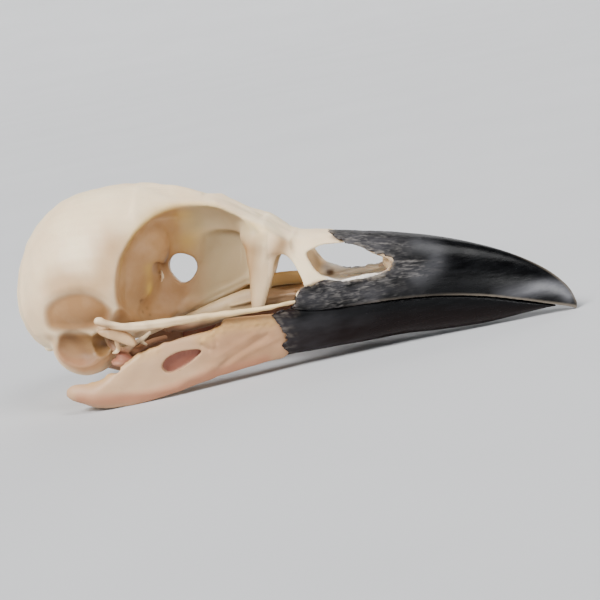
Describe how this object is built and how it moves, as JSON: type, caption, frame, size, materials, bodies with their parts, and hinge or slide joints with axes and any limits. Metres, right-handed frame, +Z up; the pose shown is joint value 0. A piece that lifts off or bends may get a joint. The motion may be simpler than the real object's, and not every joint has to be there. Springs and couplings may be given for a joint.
{
  "type": "crow skull",
  "caption": "Cleaned crow skull, life size, with its dark horn bill sheaths, thin cheek bars and closed lower jaw, for display.",
  "frame": {"origin": "middle of the skull's box, on the floor it rests on", "axes": "+X towards the tip of the bill, +Y to the animal's left, +Z up"},
  "size_m": [0.0916, 0.0316, 0.0345],
  "materials": {
    "bone": "dry cleaned bone, ivory white with tan hollows",
    "horn": "blue-black horn, rough behind the nostril and polished towards the tip"
  },
  "bodies": {
    "root": {"cranium": "bone", "upper_jaw": "bone", "upper_sheath": "horn", "lower_sheath": "horn", "mandible_left": "bone", "mandible_right": "bone", "jugal_left": "bone", "jugal_right": "bone", "quadrate_left": "bone", "quadrate_right": "bone", "pterygoid_left": "bone", "pterygoid_right": "bone", "palatine_left": "bone", "palatine_right": "bone", "vomer": "bone"}
  },
  "joints": []
}
